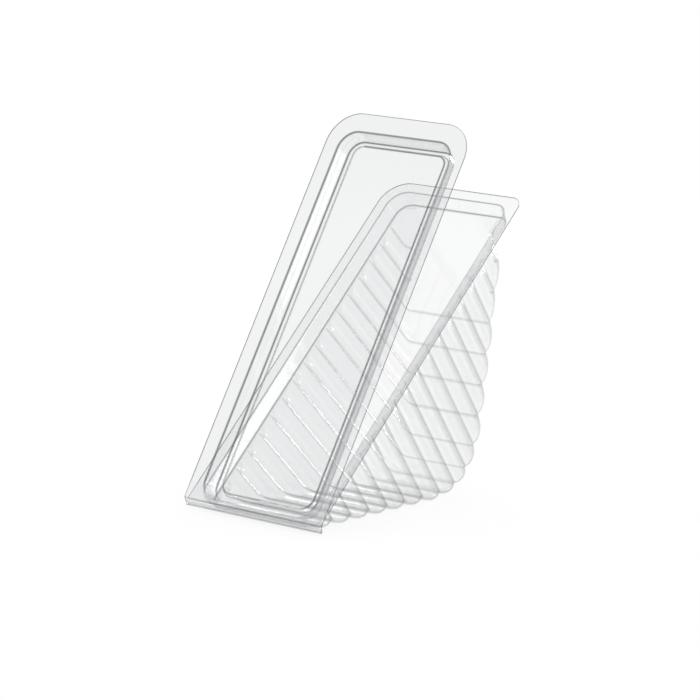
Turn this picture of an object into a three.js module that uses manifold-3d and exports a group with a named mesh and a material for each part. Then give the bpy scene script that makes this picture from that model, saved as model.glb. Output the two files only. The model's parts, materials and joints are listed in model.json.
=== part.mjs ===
// Sandwich wedge pack: a clear thermoformed tray with a hinged lid, standing on its base leg, lid ajar.
// Millimetres, +Z up. Each half is drawn in the frame of its own flange: x across the pack, y from the
// hinge to the top, z out of the tray, so that a depth below the flange is a negative z. The two halves
// are then turned about the hinge line.
import * as THREE from 'three';
import { mergeVertices } from 'three/addons/utils/BufferGeometryUtils.js';
import Module from 'manifold-3d';

const wasm = await Module();
wasm.setup();

// Film
const wall = 0.4;
const flangeGap = 0.3;          // between the two flanges when the pack is shut
const plugGap = 0.5;            // between the lid's plug and the tray's rim wall

// Tray flange and rim
const flangeLength = 185;       // from the hinge line to the top edge
const trayWidth = 74.4;
const trayCornerRadius = 12.5;
const tabCornerRadius = 5.5;    // the squarer corner that a finger lifts
const hingeRelief = 0.3;        // both flanges stop this far short of the hinge line
const rimHalfWidth = 32;        // outer skin, at the flange
const rimFront = 0.9;           // from the hinge line to the rim
const rimTopMargin = 4.9;       // from the rim to the flange's top edge
const rimDepth = 7.5;
const rimDraft = 0.24;
const rimCornerRadius = 9;
const rimTabCornerRadius = 6.5;
const rimFrontCornerRadius = 8;
const rimBottomRound = 0.8;

// Tray body: a wedge whose two legs stand at 45 degrees to the flange
const heelDepth = 2.2;          // depth of the base leg's groove line at the hinge
const backSetback = 0.5;        // the back leg's groove line ends this far short of the flange's end
const cornerRadius = 23;        // rounding between the base leg and the back leg
const bodyHalfWidth = 29.3;     // in a groove, at the flange
const bodyDraft = 0.133;
const bodyEdgeRadius = 3.6;     // between a side wall and a leg
const flutePitch = 10;
const firstGroove = 4;
const fluteDepth = 1.6;         // how far a rib stands out of the side wall
const lobeSag = 2.3;            // how far a rib stands out of the base leg
const upperLobeSag = 1;         // the same at the top of the ribbed part of the back leg
const lobeFacets = 7;           // odd, so that the facet that the pack rests on is level
const smoothBackLength = 41;    // plain panel on the back, measured from the flange's end
const shoulderLength = 20;      // plain inset shoulder below the top of the flange
const shoulderInset = 4.1;
const shoulderSlope = 6;

// Lid
const lidWidth = 77;
const lidOverhang = 3;
const lidCornerRadius = 15;
const plugDepth = 6.7;
const plugCornerRadius = 9;
const plugFrontCornerRadius = 8.5;
const panelDepth = 4.6;
const panelMargin = 5.7;        // from the plug's wall to the panel, at the sides
const panelTopMargin = 4.7;
const panelFrontMargin = 5.4;
const panelCornerRadius = 4.5;
const panelFrontCornerRadius = 6;
const panelDraft = 0.4;

// Hinge bead: a fold of film that hangs below the hinge line and is as long as the lid is wide
const beadRadius = 0.78;
const beadBack = 0.8;           // from the hinge line out to the middle of the bead
const beadDrop = 2.3;           // from the flange down to the middle of the bead
const beadLip = 1.2;            // depth at which the bead's free leg ends

// Pose at rest
const legAngle = Math.PI / 4;
const ajarAngle = THREE.MathUtils.degToRad(15.6);

const cornerSteps = 8;
const edgeSteps = 4;

// Solids
function solidFromGeometry(geometry) {
  const bare = geometry.clone();
  bare.deleteAttribute('normal');
  bare.deleteAttribute('uv');
  const merged = mergeVertices(bare, 1e-4);
  return new wasm.Manifold(new wasm.Mesh({
    numProp: 3,
    vertProperties: new Float32Array(merged.attributes.position.array),
    triVerts: new Uint32Array(merged.index.array),
  }));
}

function geometryFromSolid(solid) {
  const mesh = solid.getMesh();
  const geometry = new THREE.BufferGeometry();
  geometry.setAttribute('position', new THREE.BufferAttribute(mesh.vertProperties, 3));
  geometry.setIndex(new THREE.BufferAttribute(mesh.triVerts, 1));
  geometry.computeVertexNormals();
  return geometry;
}

// Negative where the faces point into the solid
function signedVolume(points, index) {
  const corners = points.map((point) => new THREE.Vector3(...point));
  let sum = 0;
  for (let i = 0; i < index.length; i += 3) {
    const [a, b, c] = index.slice(i, i + 3).map((corner) => corners[corner]);
    sum += a.dot(new THREE.Vector3().crossVectors(b, c));
  }
  return sum / 6;
}

// A closed skin over a row of rings, each ring a loop of [x, y, z] with the same number of points
function loft(rings) {
  const count = rings[0].length;
  const last = (rings.length - 1) * count;
  const index = [];
  for (let ring = 0; ring < last; ring += count) {
    for (let i = 0; i < count; i += 1) {
      const a = ring + i;
      const b = ring + ((i + 1) % count);
      index.push(a, b, b + count, a, b + count, a + count);
    }
  }
  for (let i = 1; i + 1 < count; i += 1) {
    index.push(0, i + 1, i, last, last + i, last + i + 1);
  }
  const geometry = new THREE.BufferGeometry();
  geometry.setAttribute('position', new THREE.Float32BufferAttribute(rings.flat(2), 3));
  geometry.setIndex(signedVolume(rings.flat(), index) < 0 ? index.reverse() : index);
  return solidFromGeometry(geometry);
}

// Rounded rectangle from y = front to y = top, anticlockwise from the front left corner
function outline({ half, front, top, frontRadius, leftRadius, rightRadius }, grow = 0) {
  const corners = [
    [half, front, frontRadius, -Math.PI / 2],
    [half, top, rightRadius, 0],
    [-half, top, leftRadius, Math.PI / 2],
    [-half, front, frontRadius, Math.PI],
  ];
  const points = [];
  for (const [x, y, radius, start] of corners) {
    const r = Math.max(radius + grow, 0.5);
    const centreX = x + Math.sign(x) * (grow - r);
    const centreY = y + (y === top ? grow - r : r - grow);
    for (let i = 0; i <= cornerSteps; i += 1) {
      const angle = start + (i / cornerSteps) * (Math.PI / 2);
      points.push([centreX + r * Math.cos(angle), centreY + r * Math.sin(angle)]);
    }
  }
  return points;
}

// A pocket under an outline: its wall leans in by the draft, and its foot is rounded
function pocket(shape, { from, to, draft, round }) {
  const levels = [[from, -draft * from]];
  for (let i = 0; i <= edgeSteps; i += 1) {
    const angle = (i / edgeSteps) * (Math.PI / 2);
    const depth = to - round * (1 - Math.sin(angle));
    levels.push([depth, -draft * depth - round * (1 - Math.cos(angle))]);
  }
  return loft(levels.map(([depth, grow]) => outline(shape, grow).map(([x, y]) => [x, y, -depth])));
}

function plate(shape, { from, to }) {
  return loft([from, to].map((depth) => outline(shape).map(([x, y]) => [x, y, -depth])));
}

// Tray rim
const rim = {
  half: rimHalfWidth,
  front: rimFront,
  top: flangeLength - rimTopMargin,
  frontRadius: rimFrontCornerRadius,
  leftRadius: rimCornerRadius,
  rightRadius: rimTabCornerRadius,
};

function shrink(shape, by) {
  return {
    half: shape.half - by,
    front: shape.front + by,
    top: shape.top - by,
    frontRadius: shape.frontRadius - by,
    leftRadius: shape.leftRadius - by,
    rightRadius: shape.rightRadius - by,
  };
}

const flangeFace = flangeGap / 2;

function traySkirt(inset) {
  const open = inset > 0;
  return pocket(shrink(rim, inset), {
    from: open ? -1 : flangeFace,
    to: rimDepth - inset,
    draft: rimDraft,
    round: rimBottomRound,
  });
}

// Tray body: the groove line that the ribs stand on, as a depth at a distance from the hinge
const backDepth = flangeLength - backSetback;
const cornerMiddle = (backDepth - heelDepth) / 2;
const cornerCentreDepth = cornerMiddle + heelDepth - cornerRadius * Math.SQRT2;
const cornerReach = cornerRadius * Math.SQRT1_2;

function grooveDepth(y) {
  const fromMiddle = y - cornerMiddle;
  if (fromMiddle < -cornerReach) return y + heelDepth;
  if (fromMiddle > cornerReach) return backDepth - y;
  return cornerCentreDepth + Math.sqrt(cornerRadius ** 2 - fromMiddle ** 2);
}

const lobeCount = Math.floor((flangeLength - smoothBackLength - firstGroove) / flutePitch);
const fluteCount = Math.floor((flangeLength - shoulderLength - firstGroove) / flutePitch);
const fluteEnd = firstGroove + fluteCount * flutePitch;

// One rib across a leg: an arc between two points of the groove line
function lobe(from, to, sag) {
  const chord = new THREE.Vector2().subVectors(to, from);
  const half = chord.length() / 2;
  const radius = (half ** 2 + sag ** 2) / (2 * sag);
  const reach = Math.asin(half / radius);
  const along = chord.clone().normalize();
  const out = new THREE.Vector2(-along.y, along.x);
  const middle = new THREE.Vector2().addVectors(from, to).multiplyScalar(0.5);
  const points = [];
  for (let i = 0; i < lobeFacets; i += 1) {
    const angle = reach * ((2 * i) / lobeFacets - 1);
    const rise = radius * (Math.cos(angle) - Math.cos(reach));
    points.push(middle.clone().addScaledVector(along, radius * Math.sin(angle)).addScaledVector(out, rise));
  }
  return points;
}

function lobeHeight(middle) {
  const top = firstGroove + lobeCount * flutePitch;
  const share = (middle - cornerMiddle - cornerReach) / (top - cornerMiddle - cornerReach);
  const sag = THREE.MathUtils.lerp(lobeSag, upperLobeSag, THREE.MathUtils.clamp(share, 0, 1));
  const nearCorner = Math.abs(middle - cornerMiddle) < cornerReach;
  return nearCorner ? sag * Math.SQRT1_2 * 1.1 : sag;
}

// Side view of the body's underside: x is the distance from the hinge and y the depth
function underside() {
  const points = [];
  for (let i = 0; i < lobeCount; i += 1) {
    const start = firstGroove + i * flutePitch;
    const end = start + flutePitch;
    const from = new THREE.Vector2(start, grooveDepth(start));
    const to = new THREE.Vector2(end, grooveDepth(end));
    points.push(...lobe(from, to, lobeHeight((start + end) / 2)));
  }
  const plainStart = firstGroove + lobeCount * flutePitch;
  const plainSteps = 6 * (fluteCount - lobeCount);
  for (let i = 0; i <= plainSteps; i += 1) {
    const y = THREE.MathUtils.lerp(plainStart, fluteEnd, i / plainSteps);
    points.push(new THREE.Vector2(y, grooveDepth(y)));
  }
  const bodyEnd = flangeLength - backSetback - rimDepth + 1.3;
  for (let i = 1; i <= 4; i += 1) {
    const y = flangeLength - shoulderLength + (i / 4) * shoulderSlope - 1;
    points.push(new THREE.Vector2(y, grooveDepth(y)));
  }
  points.push(new THREE.Vector2(bodyEnd, grooveDepth(bodyEnd)));
  return points;
}

// The same line moved into the body by the wall, square to itself
function movedIn(points, by) {
  if (by === 0) return points;
  return points.map((point, i) => {
    const before = points[Math.max(i - 1, 0)];
    const after = points[Math.min(i + 1, points.length - 1)];
    const a = new THREE.Vector2().subVectors(point, before).normalize();
    const b = new THREE.Vector2().subVectors(after, point).normalize();
    const first = i === 0 ? b : a;
    const second = i === points.length - 1 ? a : b;
    const square = new THREE.Vector2(first.y + second.y, -first.x - second.x);
    return point.clone().addScaledVector(square, by / (1 + first.dot(second)));
  });
}

function bodyHalf(y) {
  const phase = (y - firstGroove) / flutePitch;
  const rib = y < fluteEnd ? (1 - Math.cos(2 * Math.PI * phase)) / 2 : 0;
  const shoulderStart = flangeLength - shoulderLength - 1;
  const shoulder = THREE.MathUtils.smoothstep(y, shoulderStart, shoulderStart + shoulderSlope);
  return bodyHalfWidth + fluteDepth * rib - shoulderInset * shoulder;
}

// Cross-section of the body at one distance from the hinge: two drafted sides and a rounded foot
function section(y, half, top, depth) {
  const lean = Math.hypot(1, bodyDraft);
  const radius = Math.min(bodyEdgeRadius, (depth - top) * 0.8);
  const centreX = half - bodyDraft * (depth - radius) - radius * lean;
  const startAngle = Math.atan(bodyDraft);
  const right = [[half - bodyDraft * top, top]];
  for (let i = 0; i <= edgeSteps; i += 1) {
    const angle = THREE.MathUtils.lerp(startAngle, Math.PI / 2, i / edgeSteps);
    right.push([centreX + radius * Math.cos(angle), depth - radius + radius * Math.sin(angle)]);
  }
  const left = right.map(([x, z]) => [-x, z]).reverse();
  return [...right, ...left].map(([x, z]) => [x, y, -z]);
}

function trayBody(inset) {
  const top = rimDepth - 2 - inset;
  const stations = movedIn(underside(), inset);
  return loft(stations.map(({ x: y, y: depth }) => section(y, bodyHalf(y) - inset, top, depth)));
}

// Hinge bead: the film runs down from the flange, round the fold and up to its free leg
function hingeBead() {
  const start = new THREE.Vector2(2 * hingeRelief, -flangeFace - wall / 2);
  const middle = new THREE.Vector2(-beadBack, -beadDrop);
  const path = [start, new THREE.Vector2(middle.x + beadRadius + wall / 2, start.y - wall)];
  for (let i = 0; i <= cornerSteps; i += 1) {
    const angle = (-i / cornerSteps) * Math.PI;
    const turn = new THREE.Vector2(Math.cos(angle), Math.sin(angle));
    path.push(middle.clone().addScaledVector(turn, beadRadius));
  }
  path.push(new THREE.Vector2(middle.x - beadRadius, -beadLip));
  const lower = movedIn(path, -wall / 2);
  const upper = movedIn(path, wall / 2).reverse();
  const strip = new THREE.Shape([...lower, ...upper]);
  const geometry = new THREE.ExtrudeGeometry(strip, { depth: lidWidth, bevelEnabled: false });
  geometry.translate(0, 0, -lidWidth / 2);
  geometry.applyMatrix4(new THREE.Matrix4().set(0, 0, 1, 0, 1, 0, 0, 0, 0, 1, 0, 0, 0, 0, 0, 1));
  return solidFromGeometry(geometry);
}

function tray() {
  const flange = plate({
    half: trayWidth / 2,
    front: hingeRelief,
    top: flangeLength,
    frontRadius: 0.5,
    leftRadius: trayCornerRadius,
    rightRadius: tabCornerRadius,
  }, { from: flangeFace, to: flangeFace + wall });
  const outer = flange.add(hingeBead()).add(traySkirt(0)).add(trayBody(0));
  return outer.subtract(traySkirt(wall).add(trayBody(wall)));
}

// Lid: a flange with a plug that drops into the tray's rim, and a panel raised inside the plug
const plug = shrink(rim, wall + plugGap);
plug.leftRadius = plugCornerRadius;
plug.rightRadius = plugCornerRadius;
plug.frontRadius = plugFrontCornerRadius;

function lidPlug(inset) {
  const open = inset > 0;
  const dish = pocket(shrink(plug, inset), {
    from: open ? -1 : -flangeFace,
    to: plugDepth - inset,
    draft: rimDraft,
    round: rimBottomRound,
  });
  const panel = {
    half: plug.half - panelMargin + inset,
    front: plug.front + panelFrontMargin - inset,
    top: plug.top - panelTopMargin + inset,
    frontRadius: panelFrontCornerRadius + inset,
    leftRadius: panelCornerRadius + inset,
    rightRadius: panelCornerRadius + inset,
  };
  const levels = [panelDepth - inset, plugDepth + 1];
  const hollow = loft(levels.map((depth) => {
    const grow = (depth - panelDepth) * panelDraft;
    return outline(panel, grow).map(([x, y]) => [x, y, -depth]);
  }));
  return dish.subtract(hollow);
}

function lid() {
  const flange = plate({
    half: lidWidth / 2,
    front: hingeRelief,
    top: flangeLength + lidOverhang,
    frontRadius: 0.5,
    leftRadius: lidCornerRadius,
    rightRadius: lidCornerRadius,
  }, { from: -flangeFace - wall, to: -flangeFace });
  return flange.add(lidPlug(0)).subtract(lidPlug(wall));
}

// Scene graph
function clearFilm() {
  return new THREE.MeshStandardMaterial({
    color: 0xe9eef0,
    roughness: 0.06,
    metalness: 0,
    transparent: true,
    opacity: 0.35,
    side: THREE.DoubleSide,
  });
}

function half(name, solid, angle) {
  const mesh = new THREE.Mesh(geometryFromSolid(solid), clearFilm());
  mesh.name = name;
  mesh.rotation.x = angle;
  return mesh;
}

const pack = new THREE.Group();
pack.add(half('tray', tray(), legAngle));
pack.add(half('lid', lid(), legAngle + ajarAngle));
pack.updateMatrixWorld(true);

// The origin is the middle of the pack's box, at the level that it stands on
const box = new THREE.Box3().setFromObject(pack, true);
const middle = box.getCenter(new THREE.Vector3());
pack.position.set(-middle.x, -middle.y, -box.min.z);

export default pack;
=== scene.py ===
"""A clear film wedge pack for a cut sandwich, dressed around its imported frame: the fluted tray, the lid with
its plug, the fold of film that hinges them, and a plain white studio."""

import json
import math

import bmesh
import bpy
import numpy as np
from mathutils import Matrix, Vector

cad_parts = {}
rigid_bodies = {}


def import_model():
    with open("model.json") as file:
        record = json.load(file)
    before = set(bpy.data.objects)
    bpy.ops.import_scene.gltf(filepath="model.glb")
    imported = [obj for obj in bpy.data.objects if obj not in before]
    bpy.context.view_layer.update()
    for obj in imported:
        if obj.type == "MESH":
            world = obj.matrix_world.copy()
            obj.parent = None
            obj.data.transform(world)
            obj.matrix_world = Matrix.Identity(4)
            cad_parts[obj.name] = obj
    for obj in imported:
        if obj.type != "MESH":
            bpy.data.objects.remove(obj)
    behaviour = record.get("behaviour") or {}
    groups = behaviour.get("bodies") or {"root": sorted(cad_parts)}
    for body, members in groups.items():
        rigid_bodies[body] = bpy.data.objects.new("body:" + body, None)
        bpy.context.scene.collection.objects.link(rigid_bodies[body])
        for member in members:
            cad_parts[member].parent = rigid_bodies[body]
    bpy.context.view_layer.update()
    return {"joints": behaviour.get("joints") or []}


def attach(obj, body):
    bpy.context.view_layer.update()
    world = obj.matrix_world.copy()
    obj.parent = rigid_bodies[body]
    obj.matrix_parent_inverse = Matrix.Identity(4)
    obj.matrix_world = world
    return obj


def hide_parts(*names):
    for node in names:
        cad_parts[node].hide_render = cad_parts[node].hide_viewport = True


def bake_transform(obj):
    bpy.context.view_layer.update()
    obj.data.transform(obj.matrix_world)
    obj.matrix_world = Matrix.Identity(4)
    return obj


bl_info = {
    "name": "Sandwich wedge pack",
    "version": (1, 0, 0),
    "blender": (4, 5, 0),
    "location": "View3D > Sidebar > Wedge pack",
    "description": "Builds a clear thermoformed sandwich wedge with its hinged lid ajar",
    "category": "Object",
}

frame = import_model()
hinge = frame["joints"][0]
HINGE_LINE = np.array(hinge["pos_m"])
FLANGE_ANGLE = math.pi / 4
AJAR_ANGLE = -math.radians(hinge["range_deg"][0])
TRAY_BODY, LID_BODY = hinge["parent"], hinge["child"]
MM = 0.001


def length(name, description, default):
    """A size of the pack, typed here in millimetres."""
    return bpy.props.FloatProperty(
        name=name, description=description, default=default * MM, min=0, unit="LENGTH", precision=5
    )


class FilmSizes(bpy.types.PropertyGroup):
    """Sizes that tray, lid and hinge share"""

    wall: length("Wall", "Thickness of the film", 0.4)
    flange_gap: length("Flange gap", "Gap between the flanges when shut", 0.3)
    relief: length("Hinge relief", "How far the flanges stop short of the hinge line", 0.3)
    tray_bend: length("Tray bend", "Radius of the bend from the tray's flange into its rim", 0.45)
    lid_bend: length("Lid bend", "Radius of the bend from the lid's flange into its plug", 0.8)


class TraySizes(bpy.types.PropertyGroup):
    """Sizes of the tray"""

    long: length("Flange length", "From the hinge line to the top of the flange", 185)
    width: length("Flange width", "Width across the flange", 74.4)
    corner: length("Corner", "Radius of the plain top corner", 12.5)
    tab: length("Tab corner", "Radius of the squarer lifting corner", 5.5)
    rim_half: length("Rim half width", "From the middle to the rim wall", 32)
    rim_front: length("Rim front", "From the hinge line to the rim", 0.9)
    rim_top: length("Rim top margin", "From the rim to the top of the flange", 4.9)
    rim_depth: length("Rim depth", "Depth of the rim", 7.5)
    rim_corner: length("Rim corner", "Radius of the rim's plain top corner", 9)
    rim_tab: length("Rim tab corner", "Radius of the rim's squarer top corner", 6.5)
    rim_foot: length("Rim front corner", "Radius of the rim's corners at the hinge", 8)
    rim_round: length("Rim round", "Rounding at the foot of the rim", 0.8)
    heel: length("Heel", "Depth of the base leg's groove line at the hinge", 2.2)
    setback: length("Setback", "How far the back leg ends short of the flange", 0.5)
    apex: length("Apex", "Rounding between the base leg and the back leg", 23)
    body_half: length("Body half width", "From the middle to a groove, at the flange", 29.3)
    edge: length("Edge", "Rounding between a side wall and a leg", 3.6)
    pitch: length("Pitch", "Distance from rib to rib", 10)
    first: length("First groove", "From the hinge line to the first groove", 4)
    rib: length("Rib", "How far a rib stands out of a side wall", 1.6)
    lobe: length("Lobe", "How far a rib stands out of the base leg", 2.3)
    upper_lobe: length("Upper lobe", "How far the top rib stands out of the back leg", 1)
    plain: length("Plain back", "Length of the plain panel on the back leg", 41)
    shoulder: length("Shoulder", "Length of the plain inset shoulder", 20)
    inset: length("Shoulder inset", "How far the shoulder stands in", 4.1)
    slope: length("Shoulder slope", "Length of the step into the shoulder", 6)


class LidSizes(bpy.types.PropertyGroup):
    """Sizes of the lid"""

    width: length("Width", "Width across the lid", 77)
    overhang: length("Overhang", "How far the lid reaches past the tray's flange", 3)
    corner: length("Corner", "Radius of the top corners", 15)
    clearance: length("Clearance", "Gap between the plug and the tray's rim wall", 0.5)
    depth: length("Plug depth", "Depth of the ring channel", 6.7)
    plug_corner: length("Plug corner", "Radius of the plug's top corners", 9)
    plug_foot: length("Plug front corner", "Radius of the plug's corners at the hinge", 8.5)
    panel_depth: length("Panel depth", "Depth of the central panel", 4.6)
    side: length("Side margin", "From the plug's wall to the panel", 5.7)
    top: length("Top margin", "From the plug's wall to the panel at the top", 4.7)
    front: length("Front margin", "From the plug's wall to the panel at the hinge", 5.4)
    panel_corner: length("Panel corner", "Radius of the panel's top corners", 4.5)
    panel_foot: length("Panel front corner", "Radius of the panel's corners at the hinge", 6)


class HingeSizes(bpy.types.PropertyGroup):
    """Sizes of the fold of film below the hinge line"""

    radius: length("Radius", "Radius of the fold", 0.78)
    back: length("Back", "From the hinge line out to the middle of the fold", 0.8)
    drop: length("Drop", "From the flange down to the middle of the fold", 2.3)
    pinch: length("Pinch", "How much shorter the fold's foot is at each end", 1.1)


class LookAndPaintedShade(bpy.types.PropertyGroup):
    """Look of the film: its tints and roughness, and the painted shade along its surface and its bends"""

    tray_tint: bpy.props.FloatVectorProperty(
        name="Tray tint", description="What one skin of the tray lets through", subtype="COLOR", size=3,
        default=(0.957, 0.959, 0.961),
    )
    lid_tint: bpy.props.FloatVectorProperty(
        name="Lid tint", description="What one skin of the lid lets through", subtype="COLOR", size=3,
        default=(0.931, 0.934, 0.936),
    )
    # Painted shade: the dark colour mixed in where the film is seen along its surface and along its painted
    # lines
    edge: bpy.props.FloatVectorProperty(
        name="Edge", description="Colour of the film seen along its surface", subtype="COLOR", size=3,
        default=(0.10, 0.11, 0.115),
    )
    # How strong the painted shade lines along bends and grooves are
    line: bpy.props.FloatProperty(
        name="Line", description="How dark a crease looks", default=0.62, min=0, max=1, subtype="FACTOR"
    )
    gloss: bpy.props.FloatProperty(
        name="Roughness", description="Roughness of the film", default=0.07, min=0, max=1, subtype="FACTOR"
    )


class StudioSizes(bpy.types.PropertyGroup):
    """Place of the camera"""

    azimuth: bpy.props.FloatProperty(
        name="Azimuth", description="Camera's turn from the front", subtype="ANGLE",
        default=math.radians(38.80),
    )
    elevation: bpy.props.FloatProperty(
        name="Elevation", description="Camera's height as an angle", subtype="ANGLE",
        default=math.radians(9.0),
    )
    roll: bpy.props.FloatProperty(
        name="Roll", description="Camera's tilt to the side", subtype="ANGLE",
        default=math.radians(2.86),
    )
    distance: length("Distance", "From the camera to its target", 1597.5)
    lens: bpy.props.FloatProperty(name="Lens", description="Focal length", default=189.2, unit="CAMERA")
    target: bpy.props.FloatVectorProperty(
        name="Target", description="Point that the camera looks at", subtype="TRANSLATION", unit="LENGTH",
        default=(0.93 * MM, -6.35 * MM, 68.54 * MM),
    )


class WedgePack(bpy.types.PropertyGroup):
    """Everything that the pack is built from"""

    film: bpy.props.PointerProperty(type=FilmSizes, name="Film", description="Shared sizes")
    tray: bpy.props.PointerProperty(type=TraySizes, name="Tray", description="Sizes of the tray")
    lid: bpy.props.PointerProperty(type=LidSizes, name="Lid", description="Sizes of the lid")
    hinge: bpy.props.PointerProperty(type=HingeSizes, name="Hinge", description="Sizes of the fold")
    look_and_painted_shade: bpy.props.PointerProperty(type=LookAndPaintedShade, name="LookAndPaintedShade", description="Look of the film")
    studio: bpy.props.PointerProperty(type=StudioSizes, name="Studio", description="Place of the camera")


# Surfaces

# How finely the surfaces are divided
WALL_STEPS = 10
EDGE_STEPS = 7
BOTTOM_STEPS = 26
LOBE_STEPS = 14
SLOPE_STEPS = 10
SHOULDER_STEPS = 6
BEND_STEPS = 5
LID_SIDE_STEPS = 120
LID_END_STEPS = 46
FOLD_STEPS = 16
FOLD_COLUMNS = 60
WALL_CROWDING = 1.5
MERGE_REACH = 0.02 * MM
CRISP_ANGLE = math.radians(38)

# Form of the film
RIB_POWER = 2.6
RIB_FADE = 5 * MM
RIB_AT_RIM = 0.25
APEX_LOBE = 1.1
EDGE_SHARE = 0.8
SIDE_DRAFT = 0.133
RIM_DRAFT = 0.24
PANEL_DRAFT = 0.4
PANEL_BEND = 0.5 * MM
CENTRE_SHARE = 0.4
LEAST_RADIUS = 0.3 * MM
FLANGE_FOOT = 0.5 * MM
FLAT_SHARE = 0.45
CORNER_SPREAD = 6 * MM
SPREAD_REACH = 14 * MM
SHOULDER_LEAD = 1 * MM
SHOULDER_GAP = 1.2 * MM
MOUTH_GAP = 0.05 * MM
MOUTH_LEAD = 0.15 * MM
NECK_IN = 0.05 * MM
NECK_DROP = 0.5 * MM
RISE_SHARES = (0.35, 0.7)

# Painted lines: how dark and wide the painted shade lines along bends and grooves are, and the painted glints
PAINTED_LINE_REACH = 0.35 * MM
EDGE_PAINTED_SHADE = 0.7
RIM_PAINTED_SHADE = 0.65
FOLD_PAINTED_SHADE = 0.6
FOLD_PAINTED_SHADE_POWER = 12
CALM_START = 2 * MM
CALM_REACH = 8 * MM
CALM_LEAST = 0.2
GROOVE_REACH = 0.22 * MM
GROOVE_PAINTED_SHADE = 0.27
GROOVE_PAINTED_GLINT = 0.6
GLINT_OFF = 1.05 * MM
GLINT_REACH = 0.4 * MM


def stand(points, angle):
    """Flange points (across, from the hinge, depth) turned about the hinge line: the depth runs square to
    the flange, which itself rises from the hinge at the angle."""
    x, s, d = np.moveaxis(np.asarray(points, float), -1, 0)
    y = s * math.cos(angle) + d * math.sin(angle)
    z = s * math.sin(angle) - d * math.cos(angle)
    return np.stack([x, y, z], -1) + HINGE_LINE


def quads(rows, columns, closed=False, start=0):
    """Faces of a grid whose points are numbered row by row; closed joins the last column to the first."""
    i = np.arange(rows - 1)[:, None]
    j = np.arange(columns if closed else columns - 1)[None, :]
    k = (j + 1) % columns
    corners = [i * columns + j, i * columns + k, (i + 1) * columns + k, (i + 1) * columns + j]
    return np.stack(np.broadcast_arrays(*corners), -1).reshape(-1, 4) + start


def film_object(name, points, faces, angle, inside, wall):
    """A film piece from one skin: its points are (across, from the hinge, depth, painted shade and glint).
    Doubles are merged, faces turned away from the point inside, and the wall given on the inner side."""
    mesh = bpy.data.meshes.new(name)
    mesh.from_pydata(stand(points[:, :3], angle).tolist(), [], faces.tolist())
    # Each point keeps its painted shade line (above zero) and painted glint (below zero) as a point attribute
    mesh.attributes.new("painted_shade_and_glint", "FLOAT", "POINT").data.foreach_set("value", points[:, 3].astype(np.float32))
    work = bmesh.new()
    work.from_mesh(mesh)
    bmesh.ops.remove_doubles(work, verts=work.verts, dist=MERGE_REACH)
    bmesh.ops.recalc_face_normals(work, faces=work.faces)
    work.to_mesh(mesh)
    work.free()
    count = len(mesh.polygons)
    normals, centres, areas = np.empty(3 * count), np.empty(3 * count), np.empty(count)
    mesh.polygons.foreach_get("normal", normals)
    mesh.polygons.foreach_get("center", centres)
    mesh.polygons.foreach_get("area", areas)
    away = centres.reshape(-1, 3) - stand(inside, angle)
    if (normals.reshape(-1, 3) * away * areas[:, None]).sum() < 0:
        mesh.flip_normals()
    mesh.polygons.foreach_set("use_smooth", np.ones(count, bool))
    piece = bpy.data.objects.new(name, mesh)
    bpy.context.scene.collection.objects.link(piece)
    solid = piece.modifiers.new("Wall", "SOLIDIFY")
    solid.thickness = wall
    solid.offset = -1
    solid.material_offset_rim = 1
    crisp = piece.modifiers.new("Crisp edges", "EDGE_SPLIT")
    crisp.split_angle = CRISP_ANGLE
    return piece


def rounded_rings(loop, shape, profile):
    """Rings of a rim. The loop is a plain rectangle's outline from -1 to 1 across and from 0 to 1 along. For
    each (grow, depth, painted shade line) of the profile it is laid out round the shape, and each point moves
    to the nearest point of the shape's rounded outline: its core's nearest point plus the radius towards it."""
    across, along = loop
    half, front, top, foot, left, right = shape
    rings = []
    for grow, depth, painted_shade_and_glint in profile:
        upper = np.where(across > 0, right, left)
        radius = np.maximum(np.where(along > 0.5, upper, foot) + grow, LEAST_RADIUS)
        low, high = front - grow, top + grow
        x = across * (half + grow + CORNER_SPREAD)
        reach = CORNER_SPREAD + SPREAD_REACH
        s = low + along * (high - low)
        near = np.interp(s, [low, low + reach, high - reach, high],
                         [low - CORNER_SPREAD, low + reach, high - reach, high + CORNER_SPREAD])
        core_x = np.clip(x, radius - half - grow, half + grow - radius)
        core_s = np.clip(near, low + radius, high - radius)
        away = np.stack([x - core_x, near - core_s], -1)
        away /= np.linalg.norm(away, axis=-1)[:, None]
        flat = np.stack([core_x, core_s], -1) + away * radius[:, None]
        rings.append(np.column_stack([flat, np.full((len(flat), 2), (depth, painted_shade_and_glint))]))
    return np.array(rings)


def calm_front(s):
    """Share of the painted shade lines and painted glints that is left near the hinge, where the film is drawn
    out. It rises evenly to one with the distance from the hinge line, and never falls below the least share."""
    return np.clip((s - CALM_START) / CALM_REACH, CALM_LEAST, 1)


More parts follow.
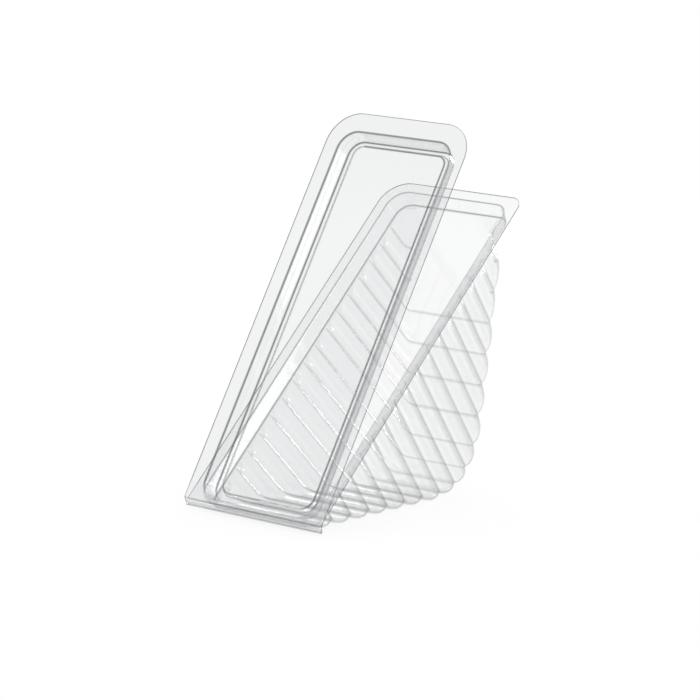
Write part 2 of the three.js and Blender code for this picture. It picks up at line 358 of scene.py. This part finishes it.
def rim_profile(depth, draft, bend, foot, face):
    """Grow, depth and painted shade line down a rim: along the flange, round the bend, down the drafted
    wall, round the foot and a little way along the ledge. At the angle a round a bend, a ring has grown less
    by the radius times sin a, and lies deeper by the radius times (1 - cos a). Flat rings keep the painted
    lines narrow."""
    lean = math.atan(draft)
    arc = math.pi / 2 - lean
    start = bend * math.tan(arc / 2)
    over = [(start + FLAT_SHARE * bend, face, 0.0)]
    over += [(start - bend * math.sin(a), face + bend * (1 - math.cos(a)), math.sin(math.pi * a / arc))
             for a in np.linspace(0, arc, BEND_STEPS + 1)]
    low = depth - foot
    over.append((over[-1][0] - draft * PAINTED_LINE_REACH, over[-1][1] + PAINTED_LINE_REACH, 0.0))
    grow = -draft * (low - face)
    under = [(grow + draft * PAINTED_LINE_REACH, low - PAINTED_LINE_REACH, 0.0)]
    under += [(grow - foot * (1 - math.cos(a)) - draft * foot * math.sin(a), low + foot * math.sin(a),
               math.sin(2 * a)) for a in np.linspace(0, math.pi / 2, BEND_STEPS + 1)]
    under.append((under[-1][0] - PAINTED_LINE_REACH, depth, 0.0))
    return over, under


def flange_edge(face):
    """Profile of a flange's outer edge: the edge, and a ring just inside it, where its painted shade line
    ends.
    """
    return [(0, face, EDGE_PAINTED_SHADE), (-PAINTED_LINE_REACH, face, 0)]


# Tray

def groove_depth(tray, s):
    """Depth of the line that the ribs stand on: the base leg at 45 degrees, an arc, and the back leg."""
    back = tray.long - tray.setback
    middle = (back - tray.heel) / 2
    reach = tray.apex * math.sqrt(0.5)
    centre = middle + tray.heel - tray.apex * math.sqrt(2)
    off = s - middle
    arc = centre + np.sqrt(np.maximum(tray.apex**2 - off**2, 0))
    return np.where(off < -reach, s + tray.heel, np.where(off > reach, back - s, arc))


def lobe_height(tray, s, top):
    """How far a rib stands out of a leg: the lobe on the base leg, then evenly down to the upper lobe at the
    top of the back leg. Round the corner it is times the square root of a half and the apex's own share."""
    middle = (tray.long - tray.setback - tray.heel) / 2
    reach = tray.apex * math.sqrt(0.5)
    share = np.clip((s - middle - reach) / (top - middle - reach), 0, 1)
    height = tray.lobe + (tray.upper_lobe - tray.lobe) * share
    return np.where(np.abs(s - middle) < reach, height * math.sqrt(0.5) * APEX_LOBE, height)


def underside(tray):
    """Side view of the body: circular arcs between the grooves of the legs, then the plain back. An arc's
    radius is its half chord squared plus its height squared, over twice its height. Its points are turned by
    the sine of an even step, so they crowd at the grooves."""
    count = int((tray.long - tray.plain - tray.first) // tray.pitch)
    starts = tray.first + tray.pitch * np.arange(count)
    ends = starts + tray.pitch
    a = np.stack([starts, groove_depth(tray, starts)], -1)
    b = np.stack([ends, groove_depth(tray, ends)], -1)
    half = np.linalg.norm(b - a, axis=-1) / 2
    sag = lobe_height(tray, (starts + ends) / 2, ends[-1])
    radius = (half**2 + sag**2) / (2 * sag)
    reach = np.arcsin(half / radius)
    along = (b - a) / (2 * half)[:, None]
    out = np.stack([-along[:, 1], along[:, 0]], -1)
    crowd = np.sin(np.linspace(-math.pi / 2, math.pi / 2, LOBE_STEPS + 1))
    turn = reach[:, None] * crowd[None, :-1]
    run = (radius[:, None] * np.sin(turn))[..., None] * along[:, None]
    rise = (radius[:, None] * (np.cos(turn) - np.cos(reach)[:, None]))[..., None] * out[:, None]
    lobes = (((a + b) / 2)[:, None] + run + rise).reshape(-1, 2)
    shoulder = tray.long - tray.shoulder
    last = tray.long - tray.setback - tray.rim_depth
    plain = np.concatenate([
        np.arange(ends[-1], shoulder - SHOULDER_GAP, tray.pitch / LOBE_STEPS),
        np.linspace(shoulder - SHOULDER_LEAD, shoulder - SHOULDER_LEAD + tray.slope, SLOPE_STEPS),
        np.linspace(shoulder + tray.slope, last, SHOULDER_STEPS),
    ])
    plain = np.stack([plain, groove_depth(tray, plain)], -1)
    line = np.concatenate([lobes, plain])
    mouth = tray.rim_depth
    line = line[line[:, 1] > mouth + MOUTH_GAP]
    first = np.array([[line[0, 0] - MOUTH_LEAD, mouth]])
    return np.concatenate([first, line, [[last, mouth]]])


def body_half(tray, s, depth):
    """Half width of the body. A rib is one less (its distance from the middle, as a share of half the pitch)
    to the rib's power, and fades towards the rim by a parabola. The shoulder steps in by three times the
    share squared less twice the share cubed."""
    count = int((tray.long - tray.shoulder - tray.first) // tray.pitch)
    phase = np.clip((s - tray.first) / tray.pitch, 0, count) % 1
    rib = 1 - np.abs(2 * phase - 1) ** RIB_POWER
    full = np.clip((depth - tray.rim_depth) / RIB_FADE, 0, 1)
    rib = rib * (RIB_AT_RIM + (1 - RIB_AT_RIM) * full * (2 - full))
    step = np.clip((s - (tray.long - tray.shoulder - SHOULDER_LEAD)) / tray.slope, 0, 1)
    return tray.body_half + tray.rib * rib - tray.inset * step**2 * (3 - 2 * step)


def groove_painted_shade_and_glint(tray, s, last):
    """Painted shade in a groove, painted glints beside it and along the rib's top, and none elsewhere or past
    the last rib. Each line is its strength times e to the power of less (its distance over its reach) squared."""
    off = (s - tray.first + tray.pitch / 2) % tray.pitch - tray.pitch / 2
    dark = GROOVE_PAINTED_SHADE * np.exp(-((off / GROOVE_REACH) ** 2))
    middle = tray.pitch / 2 - np.abs(off)
    light = GROOVE_PAINTED_GLINT * np.exp(-(((off - GLINT_OFF) / GLINT_REACH) ** 2))
    light = light + GROOVE_PAINTED_GLINT * np.exp(-((middle / GLINT_REACH) ** 2))
    return np.where(s < last + GROOVE_REACH, dark - light, 0)


def body_grid(tray):
    """The body: at each station, down one drafted side, round its foot, across the leg and up again. A side
    lies at the body's half width less the draft times the depth, and its foot is an arc that touches both the
    side and the leg."""
    line = underside(tray)
    s, depth = line[:, 0], line[:, 1]
    mouth = tray.rim_depth
    radius = np.minimum(tray.edge, EDGE_SHARE * (depth - mouth))
    half = body_half(tray, s, depth)
    lean = math.hypot(1, SIDE_DRAFT)
    start = math.atan(SIDE_DRAFT)
    centre = half - SIDE_DRAFT * (depth - radius) - radius * lean
    tangent = depth - radius + radius * math.sin(start)
    share = np.linspace(0, 1, WALL_STEPS + 1)[None, :-1] ** WALL_CROWDING
    wall_depth = mouth + (tangent - mouth)[:, None] * share
    wall_x = body_half(tray, s[:, None], wall_depth) - SIDE_DRAFT * wall_depth
    turn = np.linspace(start, math.pi / 2, EDGE_STEPS + 1)[None, :]
    edge_x = centre[:, None] + radius[:, None] * np.cos(turn)
    edge_depth = (depth - radius)[:, None] + radius[:, None] * np.sin(turn)
    spread = np.cos(np.linspace(0, math.pi, BOTTOM_STEPS + 1))[None, 1:-1]
    flat_x = centre[:, None] * spread
    flat_depth = np.repeat(depth[:, None], BOTTOM_STEPS - 1, 1)
    x = np.concatenate([wall_x, edge_x, flat_x, -edge_x[:, ::-1], -wall_x[:, ::-1]], 1)
    d = np.concatenate([wall_depth, edge_depth, flat_depth, edge_depth[:, ::-1], wall_depth[:, ::-1]], 1)
    # Painted shade lines in the grooves and painted glints beside them on the walls; only painted shade lines
    # on the leg
    wall = groove_painted_shade_and_glint(tray, s, tray.long - tray.shoulder - SHOULDER_LEAD)[:, None]
    leg = np.maximum(groove_painted_shade_and_glint(tray, s, tray.long - tray.plain), 0)[:, None]
    side = np.repeat(wall, WALL_STEPS + EDGE_STEPS + 1, 1)
    painted_shade_and_glint = np.concatenate([side, np.repeat(leg, BOTTOM_STEPS - 1, 1), side[:, ::-1]], 1)
    return np.stack([x, np.repeat(s[:, None], x.shape[1], 1), d, painted_shade_and_glint], -1)


def mouth_loop(grid):
    """Point numbers round the edge of the body's grid, and where each lies on a plain rectangle."""
    rows, columns = grid.shape[:2]
    number = np.arange(rows * columns).reshape(rows, columns)
    order = np.concatenate([number[:, 0], number[-1, 1:-1], number[::-1, -1], number[0, -2:0:-1]])
    s = grid[:, 0, 1]
    along = (s - s[0]) / (s[-1] - s[0])
    across = grid[-1, 1:-1, 0] / grid[-1, 0, 0]
    front = grid[0, -2:0:-1, 0] / grid[0, 0, 0]
    across_all = np.concatenate([np.ones(rows), across, -np.ones(rows), front])
    along_all = np.concatenate([along, np.ones(columns - 2), along[::-1], np.zeros(columns - 2)])
    return order, (across_all, along_all)


def tray_surface(film, tray):
    """One skin: flange, bend, rim wall, rim foot and the ledge, then the ribbed body below its mouth."""
    grid = body_grid(tray)
    order, loop = mouth_loop(grid)
    face = film.flange_gap / 2 + film.wall
    over, under = rim_profile(tray.rim_depth, RIM_DRAFT, film.tray_bend, tray.rim_round, face)
    rim_end = tray.long - tray.rim_top
    rim = (tray.rim_half, tray.rim_front, rim_end, tray.rim_foot, tray.rim_corner, tray.rim_tab)
    flange = (tray.width / 2, film.relief, tray.long, FLANGE_FOOT, tray.corner, tray.tab)
    edge = flange_edge(face)
    rings = np.concatenate([rounded_rings(loop, flange, edge), rounded_rings(loop, rim, over + under)])
    # The painted shade lines round the rim are weakened, and all painted lines fade near the hinge
    rings[len(edge):, :, 3] *= RIM_PAINTED_SHADE
    rings[..., 3] *= calm_front(rings[..., 1])
    body_points = grid.reshape(-1, 4)
    count = len(order)
    ring_faces = quads(len(rings), count, closed=True, start=len(body_points))
    last = len(body_points) + (len(rings) - 1) * count + np.arange(count)
    seam = np.stack([last, np.roll(last, -1), np.roll(order, -1), order], -1)
    points = np.concatenate([body_points, rings.reshape(-1, 4)])
    return points, np.concatenate([quads(*grid.shape[:2]), ring_faces, seam])


# Lid

def plain_loop(side_steps, end_steps):
    """A rectangle's outline, anticlockwise from its front right corner, evenly spaced on each run."""
    up = np.linspace(0, 1, side_steps)
    over = np.linspace(1, -1, end_steps)[1:-1]
    across = np.concatenate([np.ones(side_steps), over, -np.ones(side_steps), -over])
    along = np.concatenate([up, np.ones(end_steps - 2), up[::-1], np.zeros(end_steps - 2)])
    return across, along


def lid_surface(film, tray, lid):
    """One skin: flange, bend, plug wall, ring channel, the wall up to the panel, and the panel."""
    loop = plain_loop(LID_SIDE_STEPS, LID_END_STEPS)
    gap = film.wall + lid.clearance
    half, front, top = tray.rim_half - gap, tray.rim_front + gap, tray.long - tray.rim_top - gap
    plug = (half, front, top, lid.plug_foot, lid.plug_corner, lid.plug_corner)
    panel_half, panel_front, panel_top = half - lid.side, front + lid.front, top - lid.top
    panel = (panel_half, panel_front, panel_top, lid.panel_foot, lid.panel_corner, lid.panel_corner)
    face = -film.flange_gap / 2
    flange = (lid.width / 2, film.relief, tray.long + lid.overhang, FLANGE_FOOT, lid.corner, lid.corner)
    over, under = rim_profile(lid.depth, RIM_DRAFT, film.lid_bend, tray.rim_round, face)
    rise = lid.depth - lid.panel_depth
    turn = np.linspace(0, math.pi / 2, BEND_STEPS + 1)
    # The third number of each ring is the painted shade line round the panel's bends
    foot = [(PANEL_DRAFT * rise + PANEL_BEND * (1 - math.sin(a)), lid.depth - PANEL_BEND * (1 - math.cos(a)),
             math.sin(2 * a)) for a in turn]
    brow = [(-PANEL_BEND * (1 - math.cos(a)), lid.panel_depth + PANEL_BEND * (1 - math.sin(a)),
             math.sin(2 * a)) for a in turn]
    foot.insert(0, (foot[0][0] + PAINTED_LINE_REACH, lid.depth, 0))
    inward = (brow[-1][0] - PAINTED_LINE_REACH, -CENTRE_SHARE * panel_half, LEAST_RADIUS - panel_half)
    centre = [(grow, lid.panel_depth, 0) for grow in inward]
    inner = rounded_rings(loop, panel, foot + brow + centre)
    rings = np.concatenate([
        rounded_rings(loop, flange, flange_edge(face)),
        rounded_rings(loop, plug, over + under),
        inner,
        inner[-1:] * [0, 1, 1, 1],
    ])
    rings[..., 3] *= calm_front(rings[..., 1])
    return rings.reshape(-1, 4), quads(len(rings), rings.shape[1], closed=True)


# Hinge fold

def hinge_surface(film, lid, fold):
    """A strip along the hinge: down from the tray's flange, round the fold, and up to the lid's flange. The
    fold is half a circle about its own middle. The strip's ends slant in evenly towards its foot."""
    start = np.array([[2 * film.relief, film.flange_gap / 2 + film.wall / 2]])
    turn = np.linspace(0, math.pi, FOLD_STEPS)
    bead = np.stack([fold.radius * np.cos(turn) - fold.back, fold.drop + fold.radius * np.sin(turn)], -1)
    neck = np.array([[bead[0, 0] - NECK_IN, start[0, 1] + NECK_DROP]])
    lid_edge = lid_point(2 * film.relief, -film.flange_gap / 2 - film.wall / 2)
    rise = np.array([bead[-1] + (lid_edge - bead[-1]) * share for share in RISE_SHARES])
    path = np.concatenate([start, neck, bead, rise, [lid_edge]])
    foot = (path[:, 1] - path[:, 1].min()) / np.ptp(path[:, 1])
    half = lid.width / 2 - fold.pinch * foot
    x = half[:, None] * np.linspace(-1, 1, FOLD_COLUMNS)[None, :]
    s = np.repeat(path[:, :1], FOLD_COLUMNS, 1)
    d = np.repeat(path[:, 1:], FOLD_COLUMNS, 1)
    # A painted shade line along the foot of the fold
    painted_shade_and_glint = np.repeat(FOLD_PAINTED_SHADE * foot[:, None] ** FOLD_PAINTED_SHADE_POWER, FOLD_COLUMNS, 1)
    return np.stack([x, s, d, painted_shade_and_glint], -1)


def lid_point(s, d):
    """A point of the lid's side view as the tray's flange sees it: turned by the angle between the two."""
    turned = s * math.cos(AJAR_ANGLE) + d * math.sin(AJAR_ANGLE)
    return np.array([turned, d * math.cos(AJAR_ANGLE) - s * math.sin(AJAR_ANGLE)])


# Materials

WAVE_SCALE = 55.0
WAVE_DETAIL = 2.0
BUMP_STRENGTH = 0.2
BUMP_HEIGHT = 0.8 * MM
EDGE_ROUGHNESS = 0.9
# Painted shade where the film is seen at a slant and along its surface, and how dark it may get at most
STEEP_START = 0.45
STEEP_END = 0.62
STEEP_SHADE = 0.09
GRAZING_SHADE = 0.5
GRAZING_POWER = 10.0
MOST_SHADE = 0.92
# Painted shade all over the film's cut edges
CUT_SHADE = 0.45
# How much clearer the film looks along a painted glint
PAINTED_GLINT_CLEAR = 1.6
SHINE_FACING = 0.05
SHINE_GRAZING = 0.12
SHINE_POWER = 2.0
ROOM_LIGHT = 0.9
FLOOR_MATTE = 0.25
FLOOR_REACH = 4.0
CLEAR_BOUNCES = 48


class Value:
    """A socket that adds its own Math nodes when it is used in an expression"""

    def __init__(self, tree, socket):
        self.tree, self.socket = tree, socket

    def _math(self, operation, other, swap=False):
        pair = (other, self) if swap else (self, other)
        return self.tree.node("ShaderNodeMath", {"operation": operation}, {0: pair[0], 1: pair[1]})

    def __add__(self, other):
        return self._math("ADD", other)

    def __radd__(self, other):
        return self._math("ADD", other, True)

    def __mul__(self, other):
        return self._math("MULTIPLY", other)

    def __rmul__(self, other):
        return self._math("MULTIPLY", other, True)

    def __pow__(self, other):
        return self._math("POWER", other)


class Tree:
    """A node tree that nodes are added to by type, settings and inputs"""

    def __init__(self, owner):
        owner.use_nodes = True
        self.nodes, self.links = owner.node_tree.nodes, owner.node_tree.links
        self.nodes.clear()

    def node(self, kind, settings=None, inputs=None, output=0):
        """Adds a node, sets it, fills its inputs with values or links, and gives one of its outputs."""
        node = self.nodes.new(kind)
        for name, value in (settings or {}).items():
            setattr(node, name, value)
        for key, value in (inputs or {}).items():
            if isinstance(value, Value):
                self.links.new(value.socket, node.inputs[key])
            else:
                node.inputs[key].default_value = value
        return Value(self, node.outputs[output]) if node.outputs else node


def film_material(name, look_and_painted_shade, tint, extra_painted_shade):
    """Clear film: it lets the light through with a faint tint, shows painted shade where it is seen at a slant
    and along its surface, and mirrors the room a little. Painted shade lines darken the creases and painted
    glints lighten the ridges, as the point attribute says. The bump is the slight unevenness of drawn film."""
    material = bpy.data.materials.new(name)
    tree = Tree(material)
    place = tree.node("ShaderNodeTexCoord", output="Object")
    waves = tree.node("ShaderNodeTexNoise", {}, {
        "Vector": place, "Scale": WAVE_SCALE, "Detail": WAVE_DETAIL,
    }, "Fac")
    bump = tree.node("ShaderNodeBump", {}, {
        "Strength": BUMP_STRENGTH, "Distance": BUMP_HEIGHT, "Height": waves,
    })
    facing = tree.node("ShaderNodeLayerWeight", {}, {"Blend": 0.5, "Normal": bump}, "Facing")
    clear = tree.node("ShaderNodeBsdfTransparent", {}, {"Color": (*tint, 1)})
    bare = tree.node("ShaderNodeBsdfTransparent", {}, {"Color": (1, 1, 1, 1)})
    # Painted shade: a dark matte surface mixed in along the film's surface and its painted lines
    dark = tree.node("ShaderNodeBsdfPrincipled", {}, {
        "Base Color": (*look_and_painted_shade.edge, 1), "Roughness": EDGE_ROUGHNESS, "Specular IOR Level": 0.0,
    })
    gloss = tree.node("ShaderNodeBsdfPrincipled", {}, {
        "Base Color": (1, 1, 1, 1), "Metallic": 1.0, "Roughness": look_and_painted_shade.gloss, "Normal": bump,
    })
    painted_shade_and_glint = tree.node("ShaderNodeAttribute", {"attribute_name": "painted_shade_and_glint"}, output="Fac")
    # Painted shade lines where the attribute is above zero, painted glints where it is below
    fold = tree.node("ShaderNodeMath", {"operation": "MAXIMUM"}, {0: painted_shade_and_glint, 1: 0.0})
    painted_glint = tree.node("ShaderNodeMath", {"operation": "MAXIMUM"}, {0: -1.0 * painted_shade_and_glint, 1: 0.0})
    # Painted shade that rises where the film is seen at a slant, and most where it is seen along its surface
    steep = tree.node("ShaderNodeMapRange", {"interpolation_type": "SMOOTHSTEP"}, {
        "Value": facing, "From Min": STEEP_START, "From Max": STEEP_END,
        "To Min": 0.0, "To Max": STEEP_SHADE,
    })
    # All the painted shade together: the cut edge's, the slanted and grazing view's, and the painted lines'
    shade = extra_painted_shade + steep + GRAZING_SHADE * facing ** GRAZING_POWER + look_and_painted_shade.line * fold
    along = tree.node("ShaderNodeMath", {"operation": "MINIMUM"}, {0: shade, 1: MOST_SHADE})
    # Painted glint: the film lets more light through along the glint lines
    clear = tree.node("ShaderNodeMixShader", {}, {0: PAINTED_GLINT_CLEAR * painted_glint, 1: clear, 2: bare})
    body = tree.node("ShaderNodeMixShader", {}, {0: along, 1: clear, 2: dark})
    shine = SHINE_FACING + SHINE_GRAZING * facing ** SHINE_POWER
    surface = tree.node("ShaderNodeMixShader", {}, {0: shine, 1: body, 2: gloss})
    tree.node("ShaderNodeOutputMaterial", {}, {"Surface": surface})
    return material


def floor_material():
    """White floor: a diffuse share keeps the pack's faint shadow, and a glow brings the rest up to white."""
    material = bpy.data.materials.new("studio_floor")
    tree = Tree(material)
    matte = tree.node("ShaderNodeBsdfDiffuse", {}, {"Color": (FLOOR_MATTE, FLOOR_MATTE, FLOOR_MATTE, 1)})
    glow = tree.node("ShaderNodeEmission", {}, {
        "Color": (1, 1, 1, 1), "Strength": 1 - FLOOR_MATTE * ROOM_LIGHT,
    })
    surface = tree.node("ShaderNodeAddShader", {}, {0: matte, 1: glow})
    tree.node("ShaderNodeOutputMaterial", {}, {"Surface": surface})
    return material


def dress(piece, slot_name):
    """Gives a film piece its two finishes: the skin's, and the cut edge's, darkened by painted shade, on the
    second slot.
    """
    look_and_painted_shade = bpy.context.scene.wedge_pack.look_and_painted_shade
    tint = look_and_painted_shade.lid_tint if slot_name == "lid_film" else look_and_painted_shade.tray_tint
    piece.data.materials.append(film_material(piece.name + "_skin", look_and_painted_shade, tint, 0.0))
    # The cut edge's finish carries extra painted shade
    piece.data.materials.append(film_material(piece.name + "_cut", look_and_painted_shade, tint, CUT_SHADE))


# Operators

class WEDGE_OT_tray(bpy.types.Operator):
    """Builds the fluted tray"""

    bl_idname = "wedge.tray"
    bl_label = "Tray"

    def execute(self, context):
        pack = context.scene.wedge_pack
        points, faces = tray_surface(pack.film, pack.tray)
        inside = [0, pack.tray.long / 2, pack.tray.long / 4]
        piece = film_object("tray_film", points, faces, FLANGE_ANGLE, inside, pack.film.wall)
        dress(piece, "tray_film")
        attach(piece, TRAY_BODY)
        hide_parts("tray")
        return {"FINISHED"}


class WEDGE_OT_lid(bpy.types.Operator):
    """Builds the lid"""

    bl_idname = "wedge.lid"
    bl_label = "Lid"

    def execute(self, context):
        pack = context.scene.wedge_pack
        points, faces = lid_surface(pack.film, pack.tray, pack.lid)
        angle = FLANGE_ANGLE + AJAR_ANGLE
        outside = [0, pack.tray.long / 2, -pack.tray.long]
        piece = film_object("lid_film", points, faces, angle, outside, pack.film.wall)
        dress(piece, "lid_film")
        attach(piece, LID_BODY)
        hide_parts("lid")
        return {"FINISHED"}


class WEDGE_OT_hinge(bpy.types.Operator):
    """Builds the fold of film that joins the lid to the tray"""

    bl_idname = "wedge.hinge"
    bl_label = "Hinge fold"

    def execute(self, context):
        pack = context.scene.wedge_pack
        grid = hinge_surface(pack.film, pack.lid, pack.hinge)
        inside = [0, -pack.hinge.back, pack.hinge.drop]
        faces = quads(*grid.shape[:2])
        piece = film_object("hinge_fold", grid.reshape(-1, 4), faces, FLANGE_ANGLE, inside, pack.film.wall)
        dress(piece, "tray_film")
        final = bpy.data.meshes.new_from_object(piece.evaluated_get(context.evaluated_depsgraph_get()))
        piece.modifiers.clear()
        piece.data = final
        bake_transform(piece)
        return {"FINISHED"}


class WEDGE_OT_studio(bpy.types.Operator):
    """Sets up the camera, the lamps and the white room"""

    bl_idname = "wedge.studio"
    bl_label = "Studio"

    def execute(self, context):
        scene = context.scene
        studio = scene.wedge_pack.studio
        scene.view_settings.view_transform = "Standard"
        scene.cycles.transparent_max_bounces = CLEAR_BOUNCES
        self.camera(scene, studio)
        self.lamp("side", (1.1, 0.60, 0.20), 0.12, 0.45, 0.5)
        self.lamp("rear", (-0.15, 1.2, 0.16), 0.30, 0.16, 2.0)
        self.lamp("low", (0.48, 0.95, 0.04), 0.07, 0.07, 0.2)
        self.lamp("top", (-0.9, 0.5, 0.9), 0.16, 0.16, 0.6)
        self.world(scene)
        self.floor()
        return {"FINISHED"}

    def camera(self, scene, studio):
        """Camera on its target at a turn, a height and a roll, looking straight along its own axis."""
        level = math.cos(studio.elevation)
        back = Vector((math.sin(studio.azimuth) * level, -math.cos(studio.azimuth) * level,
                       math.sin(studio.elevation)))
        data = bpy.data.cameras.new("camera")
        data.lens = studio.lens
        camera = bpy.data.objects.new("camera", data)
        scene.collection.objects.link(camera)
        turn = (-back).to_track_quat("-Z", "Y").to_matrix().to_4x4() @ Matrix.Rotation(studio.roll, 4, "Z")
        camera.matrix_world = Matrix.Translation(Vector(studio.target) + back * studio.distance) @ turn
        scene.camera = camera

    def lamp(self, name, place, width, height, power):
        """A soft lamp that faces the pack."""
        data = bpy.data.lights.new(name, "AREA")
        data.shape = "RECTANGLE"
        data.size = width
        data.size_y = height
        data.energy = power
        lamp = bpy.data.objects.new(name, data)
        bpy.context.scene.collection.objects.link(lamp)
        lamp.visible_camera = False
        aim = Vector(bpy.context.scene.wedge_pack.studio.target) - Vector(place)
        lamp.matrix_world = Matrix.Translation(place) @ aim.to_track_quat("-Z", "Y").to_matrix().to_4x4()

    def world(self, scene):
        """White where the camera, a mirror or glass sees it, and a plain grey light otherwise."""
        world = bpy.data.worlds.new("white_room")
        scene.world = world
        tree = Tree(world)
        path = tree.node("ShaderNodeLightPath")
        outputs = path.socket.node.outputs
        seen = tree.node("ShaderNodeMath", {"operation": "MAXIMUM"}, {
            0: Value(tree, outputs["Is Camera Ray"]), 1: Value(tree, outputs["Is Transmission Ray"])})
        seen = tree.node("ShaderNodeMath", {"operation": "MAXIMUM"}, {
            0: seen, 1: Value(tree, outputs["Is Glossy Ray"])})
        strength = ROOM_LIGHT + (1 - ROOM_LIGHT) * seen
        tree.node("ShaderNodeOutputWorld", {}, {
            "Surface": tree.node("ShaderNodeBackground", {}, {"Color": (1, 1, 1, 1), "Strength": strength})})

    def floor(self):
        """A wide white floor at the level that the pack stands on."""
        corners = np.array([[-1, -1, 0], [1, -1, 0], [1, 1, 0], [-1, 1, 0]]) * FLOOR_REACH
        mesh = bpy.data.meshes.new("studio_floor")
        mesh.from_pydata(corners.tolist(), [], [[0, 1, 2, 3]])
        mesh.materials.append(floor_material())
        floor = bpy.data.objects.new("studio_floor", mesh)
        bpy.context.scene.collection.objects.link(floor)


class WEDGE_PT_panel(bpy.types.Panel):
    """Lists what builds the pack"""

    bl_label = "Wedge pack"
    bl_idname = "WEDGE_PT_panel"
    bl_space_type = "VIEW_3D"
    bl_region_type = "UI"
    bl_category = "Wedge pack"

    def draw(self, context):
        for operator in OPERATORS:
            self.layout.operator(operator.bl_idname)


OPERATORS = (WEDGE_OT_studio, WEDGE_OT_tray, WEDGE_OT_lid, WEDGE_OT_hinge)
GROUPS = (FilmSizes, TraySizes, LidSizes, HingeSizes, LookAndPaintedShade, StudioSizes, WedgePack)
CLASSES = (*GROUPS, *OPERATORS, WEDGE_PT_panel)


def register():
    for item in CLASSES:
        bpy.utils.register_class(item)
    bpy.types.Scene.wedge_pack = bpy.props.PointerProperty(type=WedgePack)


def unregister():
    del bpy.types.Scene.wedge_pack
    for item in reversed(CLASSES):
        bpy.utils.unregister_class(item)


def main():
    """Builds the pack and its studio."""
    register()
    bpy.ops.wedge.studio()
    bpy.ops.wedge.tray()
    bpy.ops.wedge.lid()
    bpy.ops.wedge.hinge()


if __name__ == "__main__":
    main()
